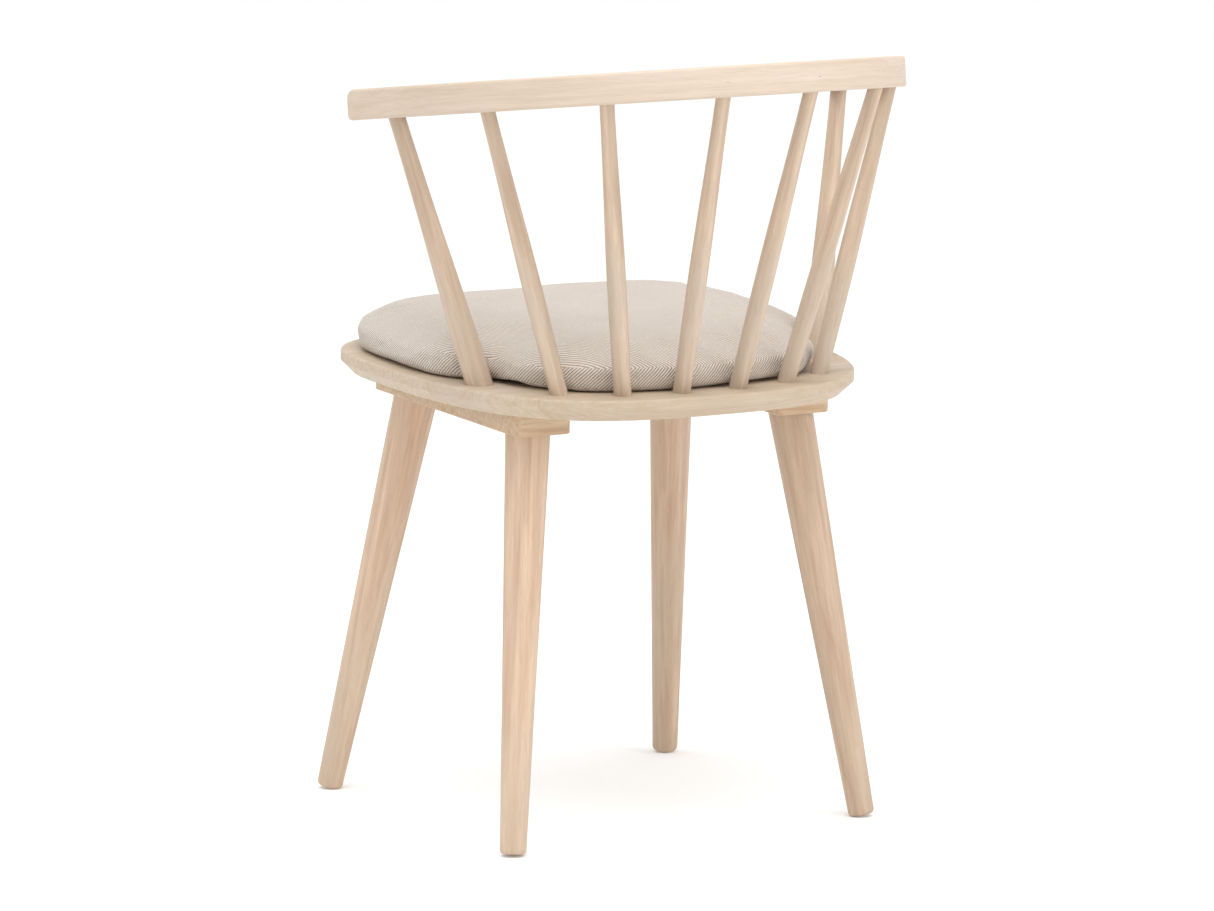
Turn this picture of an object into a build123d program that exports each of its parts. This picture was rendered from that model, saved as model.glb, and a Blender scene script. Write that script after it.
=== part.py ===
"""Wooden spindle-back armchair with a loose seat cushion.

Millimetres, +Z up, floor at Z = 0. The sitter faces -Y, and X = 0 is the chair's mirror plane.
Left and right are the sitter's own: left is +X.
"""
import os
from math import atan, cos, degrees, pi, radians, sin

from build123d import *

os.makedirs("parts", exist_ok=True)

# ---- Driving dimensions -------------------------------------------------------------------

# Seat board: glued up from staves, level across and falling a little to the rear.
SEAT_TOP = 443.5            # height of the top face at Y = 0
SEAT_FALL = 2.0             # degrees, rear edge lower
SEAT_THICK = 21.2
SEAT_BAND = 10.0            # upright part of the edge, above the undercut
SEAT_UNDERCUT = 10.5        # how far the undercut sets the underside in
SEAT_HALF_WIDTH = 226.0
SEAT_WIDEST_Y = -112.5
SEAT_FRONT_DEPTH = 152.0    # from the widest line to the front edge
SEAT_REAR_DEPTH = 293.0     # from the widest line to the rear edge
SEAT_SQUARENESS = 3.0       # exponent of the outline: 2 is an ellipse, more is squarer
SEAT_EDGE_ROUND = 2.5
OUTLINE_POINTS = 36

# Battens: two bars under the seat, front to back, that take the legs.
BATTEN_X = 143.2
BATTEN_WIDTH = 58.6
BATTEN_THICK = 23.1
BATTEN_FRONT_Y = -203.0
BATTEN_REAR_Y = 90.5
BATTEN_CORNER = 7.0
BATTEN_EDGE = 1.5

# Legs: turned, tapered down to square-cut feet, splayed both ways.
LEGS = {
    "front": {"foot": (192.0, -264.6), "top": (143.5, -168.6)},
    "rear": {"foot": (193.8, 115.6), "top": (145.3, 58.4)},
}
LEG_FOOT_RADIUS = 12.7
LEG_TOP_RADIUS = 21.6
LEG_FOOT_ROUND = 4.0
LEG_TENON_RADIUS = 14.0

# Spindles: where each leaves the seat and meets the bow rail, with its radii at the seat,
# at the belly and at the rail. The arm spindles are stouter.
SPINDLES = {
    "arm": {"seat": (186.1, 37.3), "rail": (244.4, -17.2), "radii": (12.8, 11.3, 8.0)},
    "side": {"seat": (143.2, 115.7), "rail": (219.6, 116.6), "radii": (8.5, 9.2, 7.0)},
    "back": {"seat": (89.9, 143.2), "rail": (145.8, 211.9), "radii": (8.5, 9.2, 7.0)},
    "middle": {"seat": (30.9, 152.2), "rail": (47.3, 257.0), "radii": (8.5, 9.2, 7.0)},
}
SPINDLE_BELLY = 0.35        # height of the belly, as a fraction of the free length
SPINDLE_STRAIGHT = 6.0      # parallel length left above the seat and below the rail
SPINDLE_SEAT_DEPTH = 15.0
SPINDLE_RAIL_DEPTH = 19.0

# Bow rail: a bent bar, a little under a half circle, whose two arms open forwards.
RAIL_UNDERSIDE = 696.9      # height of the underside's plane at Y = 0
RAIL_PITCH = degrees(atan(0.125))
RAIL_RADIUS = 236.6
RAIL_CENTRE_Y = 27.2        # measured in the rail's own plane
RAIL_ARM_SPLAY = 7.4        # degrees
RAIL_ARM_LENGTH = 137.0
RAIL_THICK = 30.0
RAIL_HEIGHT = 29.5
RAIL_EDGE = 3.0
RAIL_END_TOP_ROUND = 10.0
RAIL_END_LOW_ROUND = 5.0

# Screws that hold the battens up to the seat board.
SCREW_Y = (-115.0, -55.0, 5.0)
SCREW_RADIUS = 2.25
SCREW_HEAD_RADIUS = 4.5
SCREW_LENGTH = 36.0
SCREW_SINK = 0.8            # depth of the head below the batten's face
SCREW_SLOT = (5.4, 1.1, 1.4)  # one arm of the cross recess: length, width, depth

# Cushion: foam in a sewn cover, held by pairs of hook and loop pads.
CUSHION_CENTRE = (0.0, -60.0)
CUSHION_SIDE = [            # outline of the left half, from the front round to the rear
    (95.0, -247.0), (165.0, -232.0), (200.0, -186.0), (211.0, -125.0), (212.0, -60.0),
    (207.0, -12.0), (190.0, 12.0), (166.0, 31.0), (160.0, 68.0), (137.0, 104.0),
    (112.0, 124.0), (84.0, 134.0), (55.0, 141.0), (31.0, 142.5),
]
CUSHION_LEVELS = [          # height above the seat, and size as a fraction of the outline
    (3.6, 0.97), (12.0, 1.0), (26.0, 1.0), (40.0, 0.93), (50.0, 0.74), (54.5, 0.4),
]
COVER_THICK = 1.5
PAD_SIZE = (60.0, 22.0, 1.6)
PAD_PLACES = [(110.0, -180.0), (110.0, 40.0)]
PAD_CORNER = 3.0

GLUE_GAP = 0.05             # radial room for glue round each turned end
END_GAP = 0.6               # room left at the bottom of each blind hole
SIDES = {"left": 1, "right": -1}

# ---- Shared planes ------------------------------------------------------------------------

seat_plane = Plane(
    origin=(0, 0, SEAT_TOP),
    x_dir=(1, 0, 0),
    z_dir=(0, sin(radians(SEAT_FALL)), cos(radians(SEAT_FALL))),
)
seat_underside = seat_plane.offset(-SEAT_THICK)
batten_underside = seat_plane.offset(-SEAT_THICK - BATTEN_THICK)
rail_plane = Plane(
    origin=(0, 0, RAIL_UNDERSIDE),
    x_dir=(1, 0, 0),
    z_dir=(0, -sin(radians(RAIL_PITCH)), cos(radians(RAIL_PITCH))),
)


def on_plane(plane, x, y):
    """The point of a tilted plane that stands above floor position x, y."""
    normal = plane.z_dir
    height = plane.origin.Z - (normal.X * x + normal.Y * (y - plane.origin.Y)) / normal.Z
    return Vector(x, y, height)


def along(start, end):
    """A plane at start whose Z runs towards end, for whatever is drilled or extruded there."""
    return Plane(origin=start, z_dir=end - start)


def turning_plane(stock):
    """The plane that a turned profile is drawn on: X is the radius and Y runs along the stock."""
    return Plane(origin=stock.origin, x_dir=stock.x_dir, z_dir=stock.y_dir * -1)


def finish(part, label):
    """Label one piece and write it to its own file."""
    part.label = label
    export_step(part, f"parts/{label}.step")


# ---- Where the turned pieces run ----------------------------------------------------------


def leg_stock(sign, leg):
    """The leg's plane at its foot and its length up to the batten's underside."""
    top = on_plane(batten_underside, sign * leg["top"][0], leg["top"][1])
    foot = Vector(sign * leg["foot"][0], leg["foot"][1], 0)
    lean = (top - foot).get_angle(Vector(0, 0, 1))
    inner = LEG_FOOT_RADIUS - LEG_FOOT_ROUND
    foot.Z = inner * sin(radians(lean)) + LEG_FOOT_ROUND * (1 - cos(radians(lean)))
    return along(foot, top), (top - foot).length


def spindle_stock(sign, spindle):
    """The spindle's plane at the seat and its free length up to the rail."""
    low = on_plane(seat_plane, sign * spindle["seat"][0], spindle["seat"][1])
    high = on_plane(rail_plane, sign * spindle["rail"][0], spindle["rail"][1])
    return along(low, high), (high - low).length


# ---- Seat board ---------------------------------------------------------------------------


def seat_outline(inset):
    """Points round the seat's outline, a superellipse that is deeper behind its widest line."""
    points = []
    for step in range(OUTLINE_POINTS):
        angle = 2 * pi * step / OUTLINE_POINTS
        depth = SEAT_REAR_DEPTH if sin(angle) > 0 else SEAT_FRONT_DEPTH
        across = abs(cos(angle)) / (SEAT_HALF_WIDTH - inset)
        along_y = abs(sin(angle)) / (depth - inset)
        reach = (across**SEAT_SQUARENESS + along_y**SEAT_SQUARENESS) ** (-1 / SEAT_SQUARENESS)
        points.append((reach * cos(angle), SEAT_WIDEST_Y + reach * sin(angle)))
    return points


with BuildPart() as seat_board:
    with BuildSketch(seat_plane.offset(-SEAT_BAND)):
        with BuildLine():
            Spline(seat_outline(0), periodic=True)
        make_face()
    extrude(amount=SEAT_BAND)
    top_edge = seat_board.edges().sort_by(Axis.Z)[-1]
    fillet(top_edge, SEAT_EDGE_ROUND)
    for level, inset in ((-SEAT_BAND, 0), (-SEAT_THICK, SEAT_UNDERCUT)):
        with BuildSketch(seat_plane.offset(level)):
            with BuildLine():
                Spline(seat_outline(inset), periodic=True)
            make_face()
    loft(ruled=True)
    for sign in SIDES.values():
        for spindle in SPINDLES.values():
            stock, _ = spindle_stock(sign, spindle)
            with Locations(stock.offset(-SPINDLE_SEAT_DEPTH - END_GAP)):
                Cylinder(
                    spindle["radii"][0] + GLUE_GAP,
                    2 * SPINDLE_SEAT_DEPTH + END_GAP,
                    align=(Align.CENTER, Align.CENTER, Align.MIN),
                    mode=Mode.SUBTRACT,
                )
        with Locations(seat_underside):
            with Locations([(sign * BATTEN_X, y) for y in SCREW_Y]):
                Cylinder(
                    SCREW_RADIUS,
                    2 * (SCREW_LENGTH + SCREW_SINK - BATTEN_THICK + END_GAP),
                    mode=Mode.SUBTRACT,
                )
finish(seat_board.part, "seat_board")

# ---- Battens ------------------------------------------------------------------------------

batten_length = BATTEN_REAR_Y - BATTEN_FRONT_Y
batten_middle_y = (BATTEN_REAR_Y + BATTEN_FRONT_Y) / 2
screw_face = Plane(
    origin=batten_underside.origin, x_dir=(-1, 0, 0), z_dir=batten_underside.z_dir * -1
)

for side, sign in SIDES.items():
    with BuildPart() as batten:
        with BuildSketch(batten_underside):
            with Locations((sign * BATTEN_X, batten_middle_y)):
                RectangleRounded(BATTEN_WIDTH, batten_length, BATTEN_CORNER)
        extrude(amount=BATTEN_THICK)
        fillet(batten.faces().sort_by(Axis.Z)[0].edges(), BATTEN_EDGE)
        for leg in LEGS.values():
            stock, length = leg_stock(sign, leg)
            with Locations(stock.offset(length)):
                Cylinder(LEG_TENON_RADIUS + GLUE_GAP, 4 * BATTEN_THICK, mode=Mode.SUBTRACT)
        with Locations(screw_face):
            with Locations([(-sign * BATTEN_X, y) for y in SCREW_Y]):
                CounterSinkHole(SCREW_RADIUS + GLUE_GAP, SCREW_HEAD_RADIUS + SCREW_SINK)
    finish(batten.part, f"batten_{side}")

# ---- Batten screws ------------------------------------------------------------------------

with BuildPart() as batten_screws:
    for sign in SIDES.values():
        for y in SCREW_Y:
            head = screw_face.from_local_coords(Vector(-sign * BATTEN_X, y, -SCREW_SINK))
            stock = Plane(origin=head, x_dir=(1, 0, 0), z_dir=batten_underside.z_dir)
            with BuildSketch(turning_plane(stock)):
                with BuildLine():
                    Polyline(
                        (0, 0),
                        (SCREW_HEAD_RADIUS, 0),
                        (SCREW_RADIUS, SCREW_HEAD_RADIUS - SCREW_RADIUS),
                        (SCREW_RADIUS, SCREW_LENGTH - 2 * SCREW_RADIUS),
                        (0, SCREW_LENGTH),
                        close=True,
                    )
                make_face()
            revolve(axis=Axis(stock.origin, stock.z_dir))
            slot_length, slot_width, slot_depth = SCREW_SLOT
            with Locations(stock):
                Box(slot_length, slot_width, 2 * slot_depth, mode=Mode.SUBTRACT)
                Box(slot_width, slot_length, 2 * slot_depth, mode=Mode.SUBTRACT)
finish(batten_screws.part, "batten_screws")

# ---- Legs ---------------------------------------------------------------------------------

for side, sign in SIDES.items():
    for place, leg in LEGS.items():
        stock, length = leg_stock(sign, leg)
        taper = (LEG_TOP_RADIUS - LEG_FOOT_RADIUS) / length
        shoulder_reach = length + LEG_TOP_RADIUS
        with BuildPart() as turned_leg:
            with BuildSketch(turning_plane(stock)):
                with BuildLine():
                    Line((0, 0), (LEG_FOOT_RADIUS - LEG_FOOT_ROUND, 0))
                    RadiusArc(
                        (LEG_FOOT_RADIUS - LEG_FOOT_ROUND, 0),
                        (LEG_FOOT_RADIUS, LEG_FOOT_ROUND),
                        -LEG_FOOT_ROUND,
                    )
                    Polyline(
                        (LEG_FOOT_RADIUS, LEG_FOOT_ROUND),
                        (LEG_FOOT_RADIUS + taper * shoulder_reach, shoulder_reach),
                        (0, shoulder_reach),
                        (0, 0),
                    )
                make_face()
            revolve(axis=Axis(stock.origin, stock.z_dir))
            split(bisect_by=batten_underside, keep=Keep.BOTTOM)
            with BuildSketch(stock.offset(length - LEG_TENON_RADIUS)):
                Circle(LEG_TENON_RADIUS)
            extrude(amount=BATTEN_THICK + 2 * LEG_TENON_RADIUS)
            split(bisect_by=seat_underside.offset(-END_GAP), keep=Keep.BOTTOM)
        finish(turned_leg.part, f"leg_{place}_{side}")

# ---- Spindles -----------------------------------------------------------------------------

for side, sign in SIDES.items():
    for place, spindle in SPINDLES.items():
        stock, length = spindle_stock(sign, spindle)
        low_radius, belly_radius, high_radius = spindle["radii"]
        with BuildPart() as turned_spindle:
            with BuildSketch(turning_plane(stock)):
                with BuildLine():
                    foot = Polyline(
                        (0, -SPINDLE_SEAT_DEPTH),
                        (low_radius, -SPINDLE_SEAT_DEPTH),
                        (low_radius, SPINDLE_STRAIGHT),
                    )
                    swell = Spline(
                        foot @ 1,
                        (belly_radius, length * SPINDLE_BELLY),
                        (high_radius, length - SPINDLE_STRAIGHT),
                        tangents=[(0, 1), (0, 1)],
                    )
                    Polyline(
                        swell @ 1,
                        (high_radius, length + SPINDLE_RAIL_DEPTH),
                        (0, length + SPINDLE_RAIL_DEPTH),
                        foot @ 0,
                    )
                make_face()
            revolve(axis=Axis(stock.origin, stock.z_dir))
        finish(turned_spindle.part, f"spindle_{place}_{side}")

# ---- Bow rail -----------------------------------------------------------------------------

with BuildPart() as bow_rail:
    with BuildSketch(rail_plane):
        with BuildLine():
            arms = []
            for radius in (RAIL_RADIUS + RAIL_THICK / 2, RAIL_RADIUS - RAIL_THICK / 2):
                bow = CenterArc(
                    (0, RAIL_CENTRE_Y), radius, RAIL_ARM_SPLAY, 180 - 2 * RAIL_ARM_SPLAY
                )
                arms.append(PolarLine(bow @ 0, RAIL_ARM_LENGTH, RAIL_ARM_SPLAY - 90))
                arms.append(PolarLine(bow @ 1, RAIL_ARM_LENGTH, -RAIL_ARM_SPLAY - 90))
            Line(arms[0] @ 1, arms[2] @ 1)
            Line(arms[1] @ 1, arms[3] @ 1)
        make_face()
    extrude(amount=RAIL_HEIGHT)
    end_faces = bow_rail.faces().filter_by(GeomType.PLANE).sort_by(Axis.Y)[:2]
    low_ends = [face.edges().sort_by(Axis.Z)[0] for face in end_faces]
    top_ends = [face.edges().sort_by(Axis.Z)[-1] for face in end_faces]
    fillet(top_ends, RAIL_END_TOP_ROUND)
    fillet(
        [edge for edge in bow_rail.edges() if any(edge.is_same(low) for low in low_ends)],
        RAIL_END_LOW_ROUND,
    )
    fillet(bow_rail.edges().filter_by(lambda edge: edge.length > 1.2 * RAIL_THICK), RAIL_EDGE)
    for sign in SIDES.values():
        for spindle in SPINDLES.values():
            stock, length = spindle_stock(sign, spindle)
            with Locations(stock.offset(length + SPINDLE_RAIL_DEPTH + END_GAP)):
                Cylinder(
                    spindle["radii"][2] + GLUE_GAP,
                    2 * SPINDLE_RAIL_DEPTH + END_GAP,
                    align=(Align.CENTER, Align.CENTER, Align.MAX),
                    mode=Mode.SUBTRACT,
                )
finish(bow_rail.part, "bow_rail")

# ---- Cushion ------------------------------------------------------------------------------


def cushion_outline(size, inset):
    """The cushion's closed outline, mirrored from its left half and drawn in by the inset."""
    centre_x, centre_y = CUSHION_CENTRE
    left = [(centre_x, -250.0)] + CUSHION_SIDE + [(centre_x, 145.0)]
    right = [(-x, y) for x, y in reversed(CUSHION_SIDE)]
    points = []
    for x, y in left + right:
        ray = Vector(x - centre_x, y - centre_y)
        ray = ray * size
        ray = ray - ray.normalized() * inset
        points.append((centre_x + ray.X, centre_y + ray.Y))
    return points


def cushion_levels(inset):
    """Each section's height above the seat and its size, squeezed by the inset at both ends."""
    lowest, highest = CUSHION_LEVELS[0][0], CUSHION_LEVELS[-1][0]
    middle = (lowest + highest) / 2
    squeeze = 1 - 2 * inset / (highest - lowest)
    return [(middle + (height - middle) * squeeze, size) for height, size in CUSHION_LEVELS]


foam = None
for label, inset in (("cushion_foam", COVER_THICK), ("cushion_cover", 0.0)):
    with BuildPart() as cushion_piece:
        for height, size in cushion_levels(inset):
            with BuildSketch(seat_plane.offset(height)):
                with BuildLine():
                    Spline(cushion_outline(size, inset), periodic=True)
                make_face()
        loft(ruled=True)
        if foam:
            add(foam, mode=Mode.SUBTRACT)
    foam = foam or cushion_piece.part
    finish(cushion_piece.part, label)

# ---- Hook and loop pads -------------------------------------------------------------------

pad_length, pad_width, pad_thick = PAD_SIZE
loop_level = CUSHION_LEVELS[0][0] - pad_thick

for label, level in (("hook_pads", 0.0), ("loop_pads", loop_level)):
    with BuildPart() as pads:
        with BuildSketch(seat_plane.offset(level)):
            with Locations([(sign * x, y) for sign in SIDES.values() for x, y in PAD_PLACES]):
                RectangleRounded(pad_length, pad_width, PAD_CORNER)
        extrude(amount=pad_thick)
    finish(pads.part, label)
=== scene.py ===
import math

import bmesh
import bpy
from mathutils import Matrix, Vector, noise
from mathutils.bvhtree import BVHTree


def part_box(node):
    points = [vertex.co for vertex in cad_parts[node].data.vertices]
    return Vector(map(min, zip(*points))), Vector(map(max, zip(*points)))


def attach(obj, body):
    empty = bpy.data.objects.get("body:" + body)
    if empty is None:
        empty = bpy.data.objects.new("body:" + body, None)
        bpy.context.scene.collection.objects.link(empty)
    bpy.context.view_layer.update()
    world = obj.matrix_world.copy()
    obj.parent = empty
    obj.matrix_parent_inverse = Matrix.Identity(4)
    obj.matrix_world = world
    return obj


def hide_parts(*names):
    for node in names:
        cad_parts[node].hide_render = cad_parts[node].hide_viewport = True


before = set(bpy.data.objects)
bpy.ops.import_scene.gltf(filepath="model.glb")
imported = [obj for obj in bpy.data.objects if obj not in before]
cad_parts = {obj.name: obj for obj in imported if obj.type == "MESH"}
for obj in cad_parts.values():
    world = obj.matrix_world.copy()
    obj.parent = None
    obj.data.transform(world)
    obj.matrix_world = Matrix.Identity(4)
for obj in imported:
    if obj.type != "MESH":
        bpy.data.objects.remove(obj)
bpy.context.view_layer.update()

# ---- Seat board ---------------------------------------------------------------------------
# A board glued up from staves that run from side to side, cut to its rounded outline, undercut
# below, rubbed with a pale limed wash that stays in the pores, and sealed with a matt lacquer.

SEAT_TOP = 0.4435                   # height of its top face at Y = 0
SEAT_FALL = math.radians(2.0)       # rear edge lower
STAVE_WIDTH = 0.064
STAVE_DRIFT = 0.26                  # how far one stave's tone may stand from the next
GLUE_LINE = 0.008                   # half its width, as a share of a stave
STREAKS = 210                       # spots to the metre, before they are drawn out
FIBRES = 1300
RINGS = 34
PATCHES = 15
GRAIN_STRETCH = 26                  # how many times longer than wide the streaks are
PATCH_STRETCH = 4
SEAT_TONES = ((193, 178, 158), (181, 160, 136), (184, 173, 158))


def shade(red, green, blue):
    """A screen colour from 0 to 255 as the linear colour that a shader takes."""
    steps = (c / 255 for c in (red, green, blue))
    linear = (c / 12.92 if c <= 0.04045 else ((c + 0.055) / 1.055) ** 2.4 for c in steps)
    return (*linear, 1.0)


def new_finish(name):
    """An empty finish with its surface shader ready."""
    finish = bpy.data.materials.new(name)
    finish.use_nodes = True
    return finish, finish.node_tree.nodes["Principled BSDF"]


def add(finish, kind, inputs=None, **settings):
    """One node of a finish, with its settings made and each input linked or set."""
    made = finish.node_tree.nodes.new(kind)
    for setting, value in settings.items():
        setattr(made, setting, value)
    for socket, value in (inputs or {}).items():
        if isinstance(value, bpy.types.NodeSocket):
            finish.node_tree.links.new(value, made.inputs[socket])
        else:
            made.inputs[socket].default_value = value
    return made


def object_place(finish):
    """Where each point of the piece lies, in metres from the frame's origin."""
    return add(finish, "ShaderNodeTexCoord").outputs["Object"]


def speckle(finish, place, scale, detail, rough=0.55, distortion=0.0):
    """Cloudy noise from 0 to 1 with so many spots to the metre."""
    return add(finish, "ShaderNodeTexNoise", {
        "Vector": place, "Scale": scale, "Detail": detail, "Roughness": rough,
        "Distortion": distortion,
    }).outputs["Fac"]


def between(finish, value, low, high, to_low=0.0, to_high=1.0):
    """The value stretched from low..high to to_low..to_high and held there."""
    return add(finish, "ShaderNodeMapRange", {
        "Value": value, "From Min": low, "From Max": high, "To Min": to_low, "To Max": to_high,
    }).outputs["Result"]


def blend_tones(finish, factor, first, second, kind="MIX"):
    """Two colours mixed by the factor."""
    mix = add(finish, "ShaderNodeMix", data_type="RGBA", blend_type=kind)
    for socket, value in ((0, factor), (6, first), (7, second)):
        if isinstance(value, bpy.types.NodeSocket):
            finish.node_tree.links.new(value, mix.inputs[socket])
        else:
            mix.inputs[socket].default_value = value
    return mix.outputs[2]


def sums(finish, operation, *values):
    """Arithmetic on sockets and numbers."""
    return add(finish, "ShaderNodeMath", dict(enumerate(values)), operation=operation).outputs[0]


def stretched(finish, place, centre, turn, long_axis):
    """The place seen from the stock's own middle, drawn out along its grain."""
    return add(finish, "ShaderNodeMapping", {
        "Vector": place, "Location": centre, "Rotation": turn, "Scale": (1, 1, long_axis),
    }, vector_type="TEXTURE").outputs["Vector"]


def coat(finish, surface, colour, roughness):
    """The surface's colour and roughness, each led in from a node."""
    finish.node_tree.links.new(colour, surface.inputs["Base Color"])
    finish.node_tree.links.new(roughness, surface.inputs["Roughness"])


def raise_grain(finish, surface, height, depth):
    """The surface bumped by the height, whose full range is that deep."""
    bump = add(finish, "ShaderNodeBump", {"Height": height, "Distance": depth, "Strength": 1.0})
    finish.node_tree.links.new(bump.outputs["Normal"], surface.inputs["Normal"])


def limed_wood(name, tones, grain_place, patch_place, wash=0.5, figure=0.35,
               grain_depth=0.00025, extra=None):
    """Limed wood. The two places are drawn out along the grain, the second one only a little."""
    finish, surface = new_finish(name)
    light, dark, limed = (shade(*tone) for tone in tones)
    lengthwise = grain_place(finish)
    broad = patch_place(finish)
    streak = speckle(finish, lengthwise, STREAKS, 4, 0.6, 0.4)
    fibre = speckle(finish, lengthwise, FIBRES, 2, 0.5)
    rings = add(finish, "ShaderNodeTexWave", {
        "Vector": lengthwise, "Scale": RINGS, "Distortion": 7.0, "Detail": 3, "Detail Scale": 1.4,
        "Detail Roughness": 0.6,
    }, wave_type="BANDS", bands_direction="DIAGONAL").outputs["Fac"]
    patch = speckle(finish, broad, PATCHES, 3, 0.55, 0.3)
    late_wood = sums(finish, "ADD",
                     sums(finish, "MULTIPLY", between(finish, streak, 0.36, 0.66), 1 - figure),
                     sums(finish, "MULTIPLY", between(finish, rings, 0.1, 0.95), figure))
    colour = blend_tones(finish, late_wood, light, dark)
    colour = blend_tones(finish, between(finish, patch, 0.47, 0.68, 0, wash), colour, limed)
    pores = between(finish, fibre, 0.30, 0.46, 0.0, 1.0)
    colour = blend_tones(finish, pores, blend_tones(finish, 0.45, colour, dark), colour)
    if extra:
        colour = extra(finish, colour)
    coat(finish, surface, colour, between(finish, streak, 0.3, 0.7, 0.46, 0.62))
    height = sums(finish, "ADD", sums(finish, "MULTIPLY", pores, 0.5), streak)
    raise_grain(finish, surface, height, grain_depth)
    return finish


def straight_stock(centre, turn):
    """The two places of limed_wood for a straight stick whose grain runs along its own Z."""
    return (lambda finish: stretched(finish, object_place(finish), centre, turn, GRAIN_STRETCH),
            lambda finish: stretched(finish, object_place(finish), centre, turn, PATCH_STRETCH))


def dress(name, finish):
    """Puts a finish on every slot of a CAD node."""
    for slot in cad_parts[name].material_slots:
        slot.material = finish


def stave_tones(finish, colour):
    """Each stave takes its own tone, with a fine dark glue line between neighbours."""
    split = add(finish, "ShaderNodeSeparateXYZ", {"Vector": object_place(finish)})
    row = sums(finish, "DIVIDE", split.outputs["Y"], STAVE_WIDTH)
    drift = add(finish, "ShaderNodeTexWhiteNoise", {
        "W": sums(finish, "FLOOR", row),
    }, noise_dimensions="1D").outputs["Value"]
    tinted = blend_tones(finish, sums(finish, "MULTIPLY", drift, STAVE_DRIFT), colour,
                         shade(166, 142, 118))
    edge = sums(finish, "PINGPONG", row, 0.5)
    return blend_tones(finish, between(finish, edge, 0.0, GLUE_LINE, 0.35, 0.0), tinted,
                       shade(140, 108, 82))


seat_middle = sum(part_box("seat_board"), Vector()) / 2
side_to_side = (0, math.pi / 2, 0)
dress("seat_board", limed_wood("seat_limed_wood", SEAT_TONES,
                               *straight_stock(seat_middle, side_to_side), wash=0.4, figure=0.1,
                               extra=stave_tones))

# ---- Battens ------------------------------------------------------------------------------
# Two flat bars under the seat with their grain across them, so that their long sides show end
# grain. They are planed and eased at the edges, stiffen the board and take the tops of the legs.

BATTEN_TONES = ((204, 180, 150), (180, 150, 118), (192, 175, 154))

for side in ("left", "right"):
    middle = sum(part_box(f"batten_{side}"), Vector()) / 2
    dress(f"batten_{side}", limed_wood(f"batten_limed_wood_{side}", BATTEN_TONES,
                                       *straight_stock(middle, side_to_side), wash=0.35,
                                       figure=0.1, grain_depth=0.0004))

# ---- Batten screws ------------------------------------------------------------------------
# Six countersunk wood screws of zinc-plated steel, three to a batten. They are driven up
# through the battens into the seat board.

ZINC_TONES = ((186, 188, 190), (150, 150, 148))

zinc, zinc_surface = new_finish("zinc_plate")
zinc_cloud = speckle(zinc, object_place(zinc), 900, 3)
coat(zinc, zinc_surface, blend_tones(zinc, zinc_cloud, *(shade(*tone) for tone in ZINC_TONES)),
     between(zinc, zinc_cloud, 0.3, 0.7, 0.25, 0.45))
zinc_surface.inputs["Metallic"].default_value = 1.0
raise_grain(zinc, zinc_surface, zinc_cloud, 0.00004)
dress("batten_screws", zinc)

# ---- Legs and spindles --------------------------------------------------------------------
# Turned sticks of the same wood, each with its grain along its length and its own chance of
# grey wash, glued into blind holes: four legs in the battens, eight spindles in the seat.

LEG_TONES = ((208, 182, 156), (182, 153, 128), (187, 169, 150))
DARKER_LEGS = {"leg_front_right": 0.96, "leg_rear_right": 0.94}  # against the left legs
SPINDLE_TONES = ((204, 181, 159), (176, 152, 130), (182, 169, 153))


def stick_axis(name):
    """The middles of a turned stick's two ends."""
    corners = sorted((v.co.copy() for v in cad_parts[name].data.vertices),
                     key=lambda corner: corner.z)
    share = max(12, len(corners) // 30)
    low = sum(corners[:share], Vector()) / share
    high = sum(corners[-share:], Vector()) / share
    return low, high


def stick_finish(name, tones, wash):
    """The limed wood of one stick, with its grain from end to end."""
    low, high = stick_axis(name)
    turn = (high - low).to_track_quat("Z", "Y").to_euler()
    return limed_wood(f"{name}_limed_wood", tones,
                      *straight_stock((low + high) / 2, turn), wash=wash, figure=0.4)


sticks = [n for n in sorted(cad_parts) if n.startswith(("leg_", "spindle_"))]
for name in sticks:
    if name.startswith("leg_"):
        share = DARKER_LEGS.get(name, 1.0)
        tones = [[channel * share for channel in tone] for tone in LEG_TONES]
        dress(name, stick_finish(name, tones, 0.6))
    else:
        dress(name, stick_finish(name, SPINDLE_TONES, 0.65))

# ---- Bow rail -----------------------------------------------------------------------------
# One bar bent round to a little under a half circle, whose straight arms open forwards. Its
# grain follows the bend. It is the palest and smoothest piece, with a few small dark flecks.

RAIL_TONES = ((202, 185, 168), (192, 174, 154), (203, 189, 175))
BEND_RADIUS = 0.2366
BEND_CENTRE_Y = 0.0272
RAIL_SLOPE = 0.125                  # how steeply it rises towards the rear
RAIL_GRAIN_STRETCH = 30.0
RAIL_PATCH_STRETCH = 5.0
FLECK_STRETCH = 4.0
FLECK_TONE = (150, 122, 98)


def round_the_bend(finish, long_axis):
    """Places along, across and up the bent bar, drawn out along it."""
    split = add(finish, "ShaderNodeSeparateXYZ", {"Vector": object_place(finish)})
    x, y, z = (split.outputs[axis] for axis in "XYZ")
    past_centre = sums(finish, "SUBTRACT", y, BEND_CENTRE_Y)
    behind = sums(finish, "MAXIMUM", past_centre, 0.0)
    ahead = sums(finish, "MAXIMUM", sums(finish, "MULTIPLY", past_centre, -1.0), 0.0)
    arc = sums(finish, "MULTIPLY", sums(finish, "ARCTAN2", x, behind), BEND_RADIUS)
    run = sums(finish, "ADD", arc, sums(finish, "MULTIPLY", ahead, sums(finish, "SIGN", x)))
    across = sums(finish, "SQRT", sums(finish, "ADD", sums(finish, "MULTIPLY", x, x),
                                       sums(finish, "MULTIPLY", behind, behind)))
    over_plane = sums(finish, "SUBTRACT", z, sums(finish, "MULTIPLY", y, RAIL_SLOPE))
    return add(finish, "ShaderNodeCombineXYZ", {
        "X": across, "Y": over_plane, "Z": sums(finish, "DIVIDE", run, long_axis),
    }).outputs["Vector"]


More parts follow.
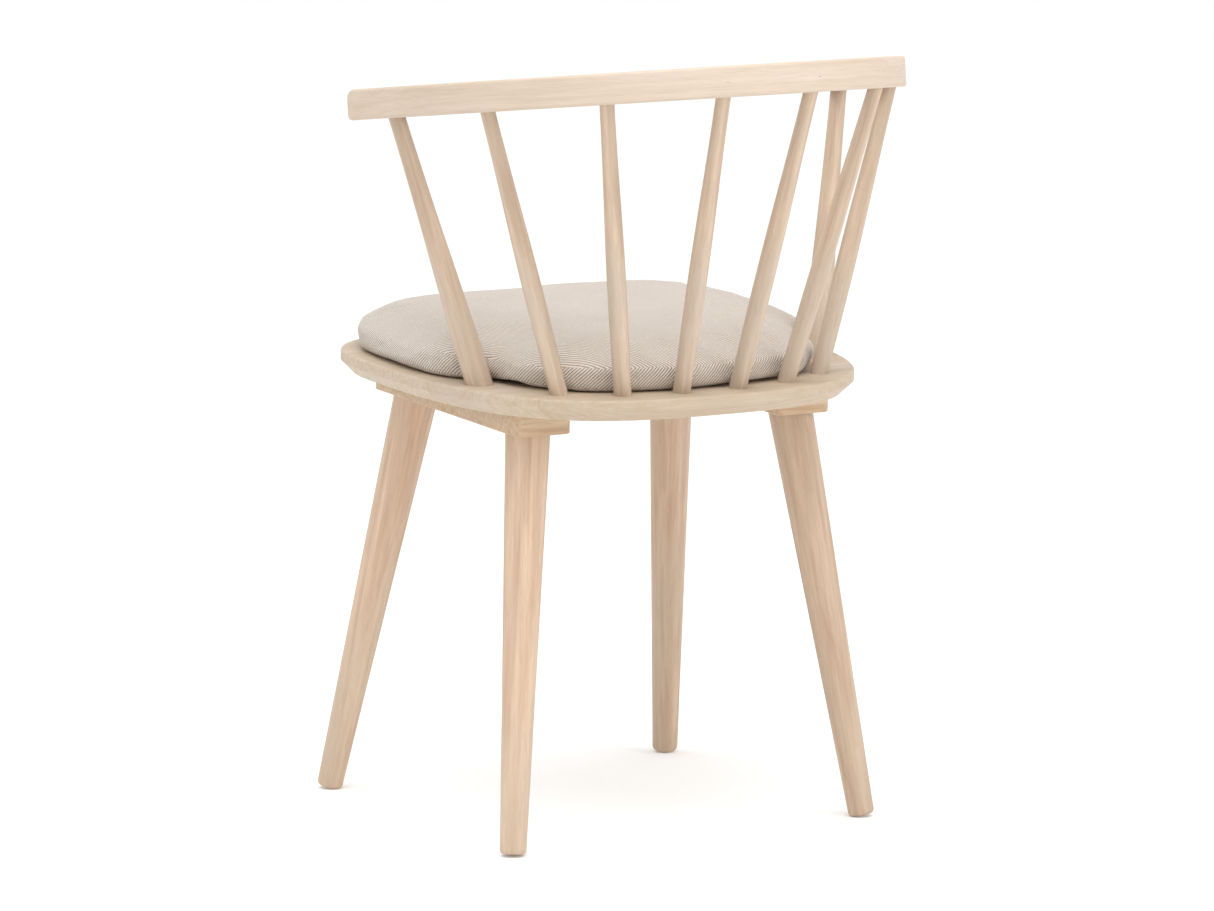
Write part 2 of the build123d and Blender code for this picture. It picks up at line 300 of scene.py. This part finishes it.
def rail_flecks(finish, colour):
    """Small dark flecks that lie along the grain, far apart."""
    cells = add(finish, "ShaderNodeTexVoronoi", {
        "Vector": round_the_bend(finish, FLECK_STRETCH), "Scale": 62, "Randomness": 1.0,
    })
    near = between(finish, cells.outputs["Distance"], 0.03, 0.10, 1.0, 0.0)
    chance = add(finish, "ShaderNodeSeparateColor", {"Color": cells.outputs["Color"]})
    rare = between(finish, chance.outputs["Red"], 0.90, 0.93, 0.0, 0.8)
    return blend_tones(finish, sums(finish, "MULTIPLY", near, rare), colour, shade(*FLECK_TONE))


dress("bow_rail", limed_wood("rail_limed_wood", RAIL_TONES,
                             lambda finish: round_the_bend(finish, RAIL_GRAIN_STRETCH),
                             lambda finish: round_the_bend(finish, RAIL_PATCH_STRETCH),
                             wash=0.4, figure=0.1, extra=rail_flecks))

# ---- Hook and loop pads -------------------------------------------------------------------
# Four pairs of woven nylon tape pads that stop the cushion sliding: the stiff hooks are stuck
# to the seat board, and the soft loops are sewn under the cushion.

TAPE_TONES = ((206, 198, 184), (232, 226, 214))
PILE_DEPTH = 0.0006

tape, tape_surface = new_finish("nylon_tape")
tape_pile = speckle(tape, object_place(tape), 1500, 3, 0.7)
coat(tape, tape_surface, blend_tones(tape, tape_pile, *(shade(*tone) for tone in TAPE_TONES)),
     between(tape, tape_pile, 0.3, 0.7, 0.75, 0.95))
raise_grain(tape, tape_surface, tape_pile, PILE_DEPTH)
dress("hook_pads", tape)
dress("loop_pads", tape)

# ---- Cushion ------------------------------------------------------------------------------
# A slab of foam in a sewn cover of coarse oatmeal twill. It is cut to the seat, wide in front
# of the arm spindles and drawn in behind them, and it bulges a little between the spindles.

CUSHION_MIDDLE_Y = -0.06
CUSHION_REACH = 0.2                 # from its middle to its sides
CUSHION_VOXEL = 0.005
SOFTEN_PASSES = 16
PRESSURE = 4.0
CLOTH_STRETCH = 12.0
CLOTH_BEND = 0.6
SETTLED_FRAME = 20
HELD_DEPTH = 0.004                  # how much of the underside stays where it is
SWELL_CAP = 0.005                   # how far the cover may stand off the foam
SPINDLE_GAP = 0.0015
SPINDLE_REACH = 0.016               # how near a spindle the cover takes notice of it
UNDERSIDE_LEVEL = 0.0010            # the lowest that the cover sags, clear of the pads
PAD_LEVEL = 0.0036                  # where the cover rests on the pads
PAD_PLACES = ((0.11, -0.18), (0.11, 0.04))
PAD_HALF = (0.030, 0.011)
PAD_MARGIN = 0.004                  # the cover stays up this far round a pad
PAD_FADE = 0.014                    # and drops to its full sag over this much more
RIM_START = 0.10                    # how far from its middle the roll begins
RIM_WIDTH = 0.08
SIDE_BULGE = 0.0062                 # how far the sides roll out, at their widest
REAR_BULGE = 0.0030                 # and how much more behind the arm spindles
REAR_START = 0.01
REAR_WIDTH = 0.04
BULGE_LEVEL = 0.019
BULGE_SPREAD_UP = 0.016
BULGE_SPREAD_DOWN = 0.040
RIM_SAG = 0.0075                    # how far the rim drops between the pads
SAG_LEVEL = 0.018                   # no sag above this
TOP_SETTLE = 0.0065                 # how far the crown sinks under its own cover
CROWN_LEVEL = 0.055
DRAG_DEPTH = 0.0016
DRAG_LEVEL = 0.022                  # where the drags are deepest
DRAG_REACH = 0.026                  # and how far above and below it they fade out
WAVE_DEPTH = 0.0018
WEAVE_PITCH = 0.0033
WEAVE_DEPTH = 0.0008
FLAT_SHARE = 0.62                   # how level a face is for the weave to lie flat on it
CLEARING_PASSES = 3
CROOKEDNESS = 0.0009                # how far the threads wander
# The last of these tones is painted shade for the valleys between the threads.
FABRIC_TONES = ((219, 210, 200), (198, 185, 171), (114, 94, 77))

seat_up = Vector((0, math.sin(SEAT_FALL), math.cos(SEAT_FALL)))
seat_origin = Vector((0, 0, SEAT_TOP))


def above_seat(point):
    """How high a point stands over the seat's top face."""
    return (point - seat_origin).dot(seat_up)


def merged_shape(name):
    """A copy of a CAD node's shape with its loose triangles joined up."""
    shape = bmesh.new()
    shape.from_mesh(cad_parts[name].data)
    bmesh.ops.remove_doubles(shape, verts=shape.verts, dist=1e-5)
    return shape


def apply_modifiers(piece):
    """The piece's shape as its modifiers leave it, with none of them left on it."""
    bpy.context.view_layer.update()
    shaped = piece.evaluated_get(bpy.context.evaluated_depsgraph_get())
    settled = bpy.data.meshes.new_from_object(shaped)
    piece.modifiers.clear()
    piece.data = settled


foam_shape = merged_shape("cushion_foam")
cover_mesh = bpy.data.meshes.new("seat_cushion")
foam_shape.to_mesh(cover_mesh)
foam_shape.free()
cushion = bpy.data.objects.new("seat_cushion", cover_mesh)
bpy.context.scene.collection.objects.link(cushion)

remesh = cushion.modifiers.new("even_mesh", "REMESH")
remesh.mode = "VOXEL"
remesh.voxel_size = CUSHION_VOXEL
apply_modifiers(cushion)

soft_shape = bmesh.new()
soft_shape.from_mesh(cushion.data)
for _ in range(SOFTEN_PASSES):
    bmesh.ops.smooth_vert(soft_shape, verts=soft_shape.verts, factor=0.5,
                          use_axis_x=True, use_axis_y=True, use_axis_z=True)
soft_shape.to_mesh(cushion.data)
soft_shape.free()
start = [v.co.copy() for v in cushion.data.vertices]

underside = cushion.vertex_groups.new(name="underside")
lowest = min(above_seat(point) for point in start)
held = [i for i, point in enumerate(start) if above_seat(point) < lowest + HELD_DEPTH]
underside.add(held, 1.0, "REPLACE")
cloth = cushion.modifiers.new("stuffing", "CLOTH")
cloth.settings.use_pressure = True
cloth.settings.uniform_pressure_force = PRESSURE
cloth.settings.vertex_group_mass = "underside"
cloth.settings.effector_weights.gravity = 0
cloth.settings.tension_stiffness = CLOTH_STRETCH
cloth.settings.compression_stiffness = CLOTH_STRETCH
cloth.settings.bending_stiffness = CLOTH_BEND
cloth.point_cache.frame_start = 1
cloth.point_cache.frame_end = SETTLED_FRAME
for step in range(1, SETTLED_FRAME + 1):
    bpy.context.scene.frame_set(step)
apply_modifiers(cushion)
cushion.vertex_groups.clear()
bpy.context.scene.frame_set(1)

for vertex, from_point in zip(cushion.data.vertices, start):
    move = vertex.co - from_point
    if move.length > SWELL_CAP:
        vertex.co = from_point + move.normalized() * SWELL_CAP

divide = cushion.modifiers.new("fine_mesh", "SUBSURF")
divide.levels = 1
divide.render_levels = 1
apply_modifiers(cushion)

spindle_trees = []
for name in sticks:
    if name.startswith("spindle_"):
        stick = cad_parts[name].data
        spindle_trees.append(BVHTree.FromPolygons(
            [v.co for v in stick.vertices], [tuple(p.vertices) for p in stick.polygons]))


def clear_of_spindles(point):
    """The point moved off any spindle that it is too near."""
    for tree in spindle_trees:
        touch, outwards, _, _ = tree.find_nearest(point, SPINDLE_REACH)
        if touch and (point - touch).dot(outwards) < SPINDLE_GAP:
            point = touch + outwards * SPINDLE_GAP
    return point


def pulled(point):
    """How far the cover stands off, in shallow drags up its sides and slow waves all over."""
    level = above_seat(point)
    side_share = max(0.0, 1.0 - abs(level - DRAG_LEVEL) / DRAG_REACH)
    drag = noise.noise(Vector((point.x * 26, point.y * 26, point.z * 9)))
    broad = noise.noise(Vector((point.x * 9 + 4.0, point.y * 9, point.z * 4)))
    return drag * DRAG_DEPTH * side_share + broad * WAVE_DEPTH


def off_pads(point):
    """How far a point stands, seen from above, from the nearest pad."""
    gaps = []
    for x, y in PAD_PLACES:
        beside = max(0.0, abs(abs(point.x) - x) - PAD_HALF[0])
        beyond = max(0.0, abs(point.y - y) - PAD_HALF[1])
        gaps.append(math.hypot(beside, beyond))
    return min(gaps)


def share_of(value, start, width):
    """From 0 at the start to 1 a width further on."""
    return min(1.0, max(0.0, (value - start) / width))


def rolled(point):
    """The point after the sides roll out, the crown settles and the rim sags."""
    level = above_seat(point)
    outwards = Vector((point.x, point.y - CUSHION_MIDDLE_Y, 0))
    rim_share = share_of(outwards.length, RIM_START, RIM_WIDTH)
    spread = BULGE_SPREAD_UP if level > BULGE_LEVEL else BULGE_SPREAD_DOWN
    reach = (SIDE_BULGE + REAR_BULGE * share_of(point.y, REAR_START, REAR_WIDTH)) * rim_share
    bulge = reach * math.exp(-((level - BULGE_LEVEL) / spread) ** 2)
    settle = TOP_SETTLE * share_of(level, 0.0, CROWN_LEVEL) ** 2
    sag_share = share_of(off_pads(point), PAD_MARGIN, PAD_FADE)
    sag = RIM_SAG * sag_share * max(0.0, 1.0 - level / SAG_LEVEL)
    return point + outwards.normalized() * bulge - seat_up * (settle + sag)


def lowest_level(point):
    """How low the underside may come: onto the pads, or a little above the bare seat."""
    return PAD_LEVEL if off_pads(point) < PAD_MARGIN else UNDERSIDE_LEVEL


normals = [vertex.normal.copy() for vertex in cushion.data.vertices]
shaped = [rolled(vertex.co + normal * pulled(vertex.co))
          for vertex, normal in zip(cushion.data.vertices, normals)]
for _ in range(CLEARING_PASSES):
    shaped = [clear_of_spindles(point) for point in shaped]
    shaped = [point + seat_up * max(0.0, lowest_level(point) - above_seat(point))
              for point in shaped]
for vertex, point in zip(cushion.data.vertices, shaped):
    vertex.co = point

for polygon in cushion.data.polygons:
    polygon.use_smooth = True


def bearing_of(point):
    """The direction of a point from the cushion's middle, round from the rear."""
    return math.atan2(point.x, point.y - CUSHION_MIDDLE_Y)


weave_map = cushion.data.uv_layers.new(name="weave")
for polygon in cushion.data.polygons:
    flat = abs(polygon.normal.dot(seat_up)) > FLAT_SHARE
    middle_bearing = bearing_of(polygon.center)
    for loop in polygon.loop_indices:
        point = cushion.data.vertices[cushion.data.loops[loop].vertex_index].co
        if flat:
            place = (point.x, point.y)
        else:
            step = bearing_of(point) - middle_bearing
            step -= math.tau * round(step / math.tau)
            place = ((middle_bearing + step) * CUSHION_REACH, above_seat(point))
        weave_map.data[loop].uv = place

twill, twill_surface = new_finish("oatmeal_twill")
twill_place = add(twill, "ShaderNodeUVMap", uv_map="weave").outputs["UV"]
wander = add(twill, "ShaderNodeTexNoise", {
    "Vector": object_place(twill), "Scale": 90, "Detail": 2,
}).outputs["Color"]
small_wander = add(twill, "ShaderNodeVectorMath", {
    0: wander, "Scale": CROOKEDNESS,
}, operation="SCALE").outputs["Vector"]
crooked = add(twill, "ShaderNodeVectorMath", {
    0: twill_place, 1: small_wander,
}, operation="ADD").outputs["Vector"]
threads = add(twill, "ShaderNodeSeparateXYZ", {"Vector": crooked})
u, v = threads.outputs["X"], threads.outputs["Y"]


def thread_wave(value, pitch):
    """A rounded ridge from 0 to 1 across each thread."""
    turned = sums(twill, "MULTIPLY", value, 2 * math.pi / pitch)
    return between(twill, sums(twill, "SINE", turned), -1.0, 1.0)


diagonal = thread_wave(sums(twill, "ADD", u, v), WEAVE_PITCH)
counter = thread_wave(sums(twill, "SUBTRACT", u, v), WEAVE_PITCH * 0.6)
weave = sums(twill, "ADD", sums(twill, "MULTIPLY", diagonal, 0.75),
             sums(twill, "MULTIPLY", counter, 0.25))
slub = speckle(twill, object_place(twill), 420, 3, 0.6)
cloud = speckle(twill, object_place(twill), 22, 3)
pale_tone, deep_tone, valley_shade_tone = (shade(*tone) for tone in FABRIC_TONES)
yarn = blend_tones(twill, between(twill, slub, 0.35, 0.68, 0.0, 0.6), pale_tone, deep_tone)
yarn = blend_tones(twill, between(twill, cloud, 0.4, 0.7, 0.0, 0.25), yarn, deep_tone)
# The valleys between the threads are darkened with painted shade, on top of their bump.
painted_valley_shade = between(twill, weave, 0.10, 0.60, 0.85, 0.0)
coat(twill, twill_surface, blend_tones(twill, painted_valley_shade, yarn, valley_shade_tone),
     between(twill, slub, 0.3, 0.7, 0.82, 0.98))
twill_surface.inputs["Sheen Weight"].default_value = 0.25
twill_surface.inputs["Sheen Roughness"].default_value = 0.6
raise_grain(twill, twill_surface, sums(twill, "ADD", weave, sums(twill, "MULTIPLY", slub, 0.4)),
            WEAVE_DEPTH)
cushion.data.materials.clear()
cushion.data.materials.append(twill)

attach(cushion, "cushion")
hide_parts("cushion_cover", "cushion_foam")

# ---- Floor, light and camera --------------------------------------------------------------
# A white floor that runs on under a white surround, one broad soft light overhead and a
# weaker one behind the chair's right side. The camera stands behind its left side, above it.

FLOOR_RADIUS = 60.0
CAMERA_PLACE = (3.64397, 6.38110, 1.49991)
CAMERA_YAW = -2.0866277
CAMERA_PITCH = -0.1546322
CAMERA_LENS = 227.93

floor_shape = bmesh.new()
bmesh.ops.create_circle(floor_shape, cap_ends=True, segments=96, radius=FLOOR_RADIUS)
floor_mesh = bpy.data.meshes.new("studio_floor")
floor_shape.to_mesh(floor_mesh)
floor_shape.free()
floor = bpy.data.objects.new("studio_floor", floor_mesh)
bpy.context.scene.collection.objects.link(floor)
paper, paper_surface = new_finish("white_paper")
paper_cloud = speckle(paper, object_place(paper), 3, 2)
paper.node_tree.links.new(
    blend_tones(paper, paper_cloud, (0.90, 0.90, 0.90, 1), (0.92, 0.92, 0.92, 1)),
    paper_surface.inputs["Base Color"])
paper_surface.inputs["Roughness"].default_value = 0.9
paper_surface.inputs["Specular IOR Level"].default_value = 0.1
paper_surface.inputs["Emission Color"].default_value = (1, 1, 1, 1)
paper_surface.inputs["Emission Strength"].default_value = 0.1
floor.data.materials.append(paper)

surround = bpy.data.worlds.new("white_surround")
surround.use_nodes = True
surround.node_tree.nodes["Background"].inputs["Color"].default_value = (1, 1, 1, 1)
surround.node_tree.nodes["Background"].inputs["Strength"].default_value = 1.0
bpy.context.scene.world = surround


def soft_light(name, place, size, power):
    """A square soft light aimed at the seat."""
    light = bpy.data.lights.new(name, "AREA")
    light.size = size
    light.energy = power
    lamp = bpy.data.objects.new(name, light)
    bpy.context.scene.collection.objects.link(lamp)
    lamp.location = place
    lamp.rotation_euler = (Vector(place) - Vector((0, 0, 0.4))).to_track_quat("Z", "Y").to_euler()


soft_light("overhead_light", (0.6, 0.8, 3.2), 2.4, 60)
soft_light("side_light", (-2.4, 2.9, 1.7), 1.8, 30)

camera_data = bpy.data.cameras.new("studio_camera")
camera_data.sensor_width = 36.0
camera_data.lens = CAMERA_LENS
camera_data.clip_end = 200.0
camera = bpy.data.objects.new("studio_camera", camera_data)
bpy.context.scene.collection.objects.link(camera)
camera.location = CAMERA_PLACE
camera.rotation_euler = (math.pi / 2 + CAMERA_PITCH, 0, CAMERA_YAW - math.pi / 2)
bpy.context.scene.camera = camera
bpy.context.scene.view_settings.view_transform = "Standard"
